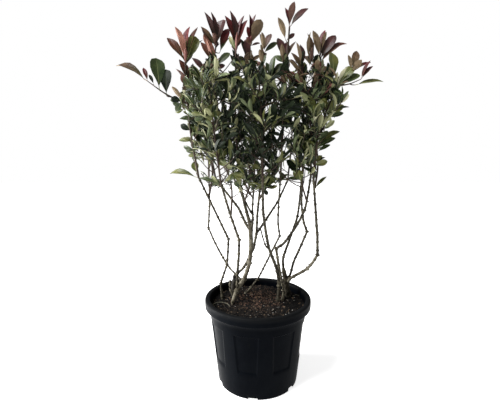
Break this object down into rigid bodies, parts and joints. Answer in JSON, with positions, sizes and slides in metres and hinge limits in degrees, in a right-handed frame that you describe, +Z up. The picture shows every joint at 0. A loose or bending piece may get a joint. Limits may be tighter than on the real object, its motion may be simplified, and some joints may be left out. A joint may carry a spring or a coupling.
{
  "type": "potted photinia shrub",
  "caption": "Upright evergreen shrub with bare branching stems and a dense green and bronze-red leafy crown, growing in a round black nursery pot filled with compost.",
  "frame": {"origin": "on the ground under the middle of the pot's flat underside", "axes": "+Z up along the stems; -Y towards the viewer of the picture; +X to the viewer's right"},
  "size_m": [0.6293, 0.5211, 1.0305],
  "materials": {
    "black_plastic": "satin black moulded plastic",
    "compost": "dark crumbly potting compost",
    "bark": "rough grey-brown bark",
    "green_leaf": "leathery dark green leaves",
    "bronze_leaf": "glossy bronze and olive young leaves",
    "crimson_leaf": "glossy crimson young leaves"
  },
  "bodies": {
    "root": {"bent_right_stem": "bark", "bent_right_top": "bark", "compost": "compost", "dark_stem": "bark", "dark_stem_top": "bark", "dead_stub": "bark", "dead_twig": "bark", "front_right_stem": "bark", "left_side_bough": "bark", "left_trunk": "bark", "left_trunk_top": "bark", "middle_bough": "bark", "middle_stem": "bark", "old_stump": "bark", "outer_left_stem": "bark", "outer_left_top": "bark", "outer_right_stem": "bark", "outer_right_top": "bark", "pale_stem": "bark", "pale_stem_top": "bark", "plume_back": "crimson_leaf", "plume_back_left": "bronze_leaf", "plume_back_right": "crimson_leaf", "plume_centre": "bronze_leaf", "plume_centre_left": "crimson_leaf", "plume_far_right": "bronze_leaf", "plume_front": "green_leaf", "plume_front_left": "green_leaf", "plume_front_right": "bronze_leaf", "plume_inner": "green_leaf", "plume_left": "bronze_leaf", "plume_left_inner": "bronze_leaf", "plume_right": "bronze_leaf", "plume_right_back": "bronze_leaf", "plume_tall": "crimson_leaf", "pot": "black_plastic", "right_bough": "bark", "right_bough_top": "bark", "right_tall_stem": "bark", "right_trunk": "bark", "skirt_back": "green_leaf", "skirt_centre": "green_leaf", "skirt_front": "green_leaf", "skirt_front_left": "green_leaf", "skirt_front_right": "green_leaf", "skirt_left": "green_leaf", "skirt_right": "green_leaf", "stump_bough": "bark", "stump_stem": "bark", "thin_stem": "bark", "thin_stem_top": "bark"}
  },
  "joints": []
}
